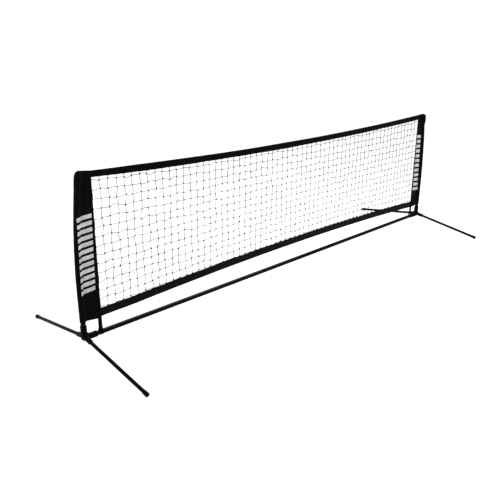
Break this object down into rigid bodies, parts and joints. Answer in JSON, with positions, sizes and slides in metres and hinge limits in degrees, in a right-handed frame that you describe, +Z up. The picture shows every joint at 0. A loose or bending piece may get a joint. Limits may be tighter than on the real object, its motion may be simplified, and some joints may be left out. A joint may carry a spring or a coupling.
{
  "type": "portable badminton net",
  "caption": "Low free-standing racket-sport net: square mesh between corded bands and fabric end sleeves, on plug-together tube posts, rail and splayed legs.",
  "frame": {"origin": "on the ground, under the middle of the net", "axes": "+X along the net, +Y from the front legs to the rear legs, +Z up"},
  "size_m": [3.023, 1.0428, 0.8885],
  "materials": {
    "hub_plastic": "fine moulded texture, satin black",
    "tube_paint": "black powder coat, semi-gloss",
    "cap_rubber": "matt moulded rubber",
    "plug_plastic": "satin black",
    "button_steel": "blackened, worn bright on the dome",
    "spring_steel": "bare spring strip",
    "twine": "twisted black polyethylene twine",
    "band_cloth": "woven black polyester tape",
    "sleeve_cloth": "black oxford cloth",
    "webbing": "ribbed black webbing",
    "hook_and_loop": "black hook-and-loop tape",
    "cord": "braided cord"
  },
  "bodies": {
    "frame": {"hub_left": "hub_plastic", "post_lower_left": "tube_paint", "post_upper_left": "tube_paint", "post_cap_left": "plug_plastic", "post_spring_left": "spring_steel", "rail_spring_left": "spring_steel", "cord_anchor_left": "plug_plastic", "sleeve_left": "sleeve_cloth", "edge_tape_left": "band_cloth", "strap_left": "webbing", "strap_tab_left": "hook_and_loop", "hub_right": "hub_plastic", "post_lower_right": "tube_paint", "post_upper_right": "tube_paint", "post_cap_right": "plug_plastic", "post_spring_right": "spring_steel", "rail_spring_right": "spring_steel", "cord_anchor_right": "plug_plastic", "sleeve_right": "sleeve_cloth", "edge_tape_right": "band_cloth", "strap_right": "webbing", "strap_tab_right": "hook_and_loop", "rail_section_1": "tube_paint", "rail_section_2": "tube_paint", "rail_section_3": "tube_paint", "rail_section_4": "tube_paint", "rail_shock_cord": "cord", "net_mesh": "twine", "head_band_1": "band_cloth", "head_band_2": "band_cloth", "head_band_3": "band_cloth", "head_band_4": "band_cloth", "head_cord": "cord", "foot_band_1": "band_cloth", "foot_band_2": "band_cloth", "foot_band_3": "band_cloth", "foot_band_4": "band_cloth"},
    "leg_left_front_body": {"leg_left_front": "tube_paint", "leg_cap_left_front": "cap_rubber"},
    "leg_left_rear_body": {"leg_left_rear": "tube_paint", "leg_cap_left_rear": "cap_rubber"},
    "post_button_left_body": {"post_button_left": "button_steel"},
    "rail_button_left_body": {"rail_button_left": "button_steel"},
    "leg_right_front_body": {"leg_right_front": "tube_paint", "leg_cap_right_front": "cap_rubber"},
    "leg_right_rear_body": {"leg_right_rear": "tube_paint", "leg_cap_right_rear": "cap_rubber"},
    "post_button_right_body": {"post_button_right": "button_steel"},
    "rail_button_right_body": {"rail_button_right": "button_steel"}
  },
  "joints": [
    {"name": "leg_left_front_pull", "type": "slide", "parent": "frame", "child": "leg_left_front_body", "axis": [0, -0.9883, -0.1528], "range_m": [0, 0.05]},
    {"name": "leg_left_rear_pull", "type": "slide", "parent": "frame", "child": "leg_left_rear_body", "axis": [0, 0.9883, -0.1528], "range_m": [0, 0.05]},
    {"name": "post_button_left_press", "type": "slide", "parent": "frame", "child": "post_button_left_body", "axis": [0, -1, 0], "range_m": [0, 0.0062], "stiffness_N_per_m": 700, "springref_m": -0.003, "deforming": ["post_spring_left"]},
    {"name": "rail_button_left_press", "type": "slide", "parent": "frame", "child": "rail_button_left_body", "axis": [0, -1, 0], "range_m": [0, 0.0062], "stiffness_N_per_m": 700, "springref_m": -0.003, "deforming": ["rail_spring_left"]},
    {"name": "leg_right_front_pull", "type": "slide", "parent": "frame", "child": "leg_right_front_body", "axis": [0, -0.9883, -0.1528], "range_m": [0, 0.05]},
    {"name": "leg_right_rear_pull", "type": "slide", "parent": "frame", "child": "leg_right_rear_body", "axis": [0, 0.9883, -0.1528], "range_m": [0, 0.05]},
    {"name": "post_button_right_press", "type": "slide", "parent": "frame", "child": "post_button_right_body", "axis": [0, -1, 0], "range_m": [0, 0.0062], "stiffness_N_per_m": 700, "springref_m": -0.003, "deforming": ["post_spring_right"]},
    {"name": "rail_button_right_press", "type": "slide", "parent": "frame", "child": "rail_button_right_body", "axis": [0, -1, 0], "range_m": [0, 0.0062], "stiffness_N_per_m": 700, "springref_m": -0.003, "deforming": ["rail_spring_right"]}
  ]
}
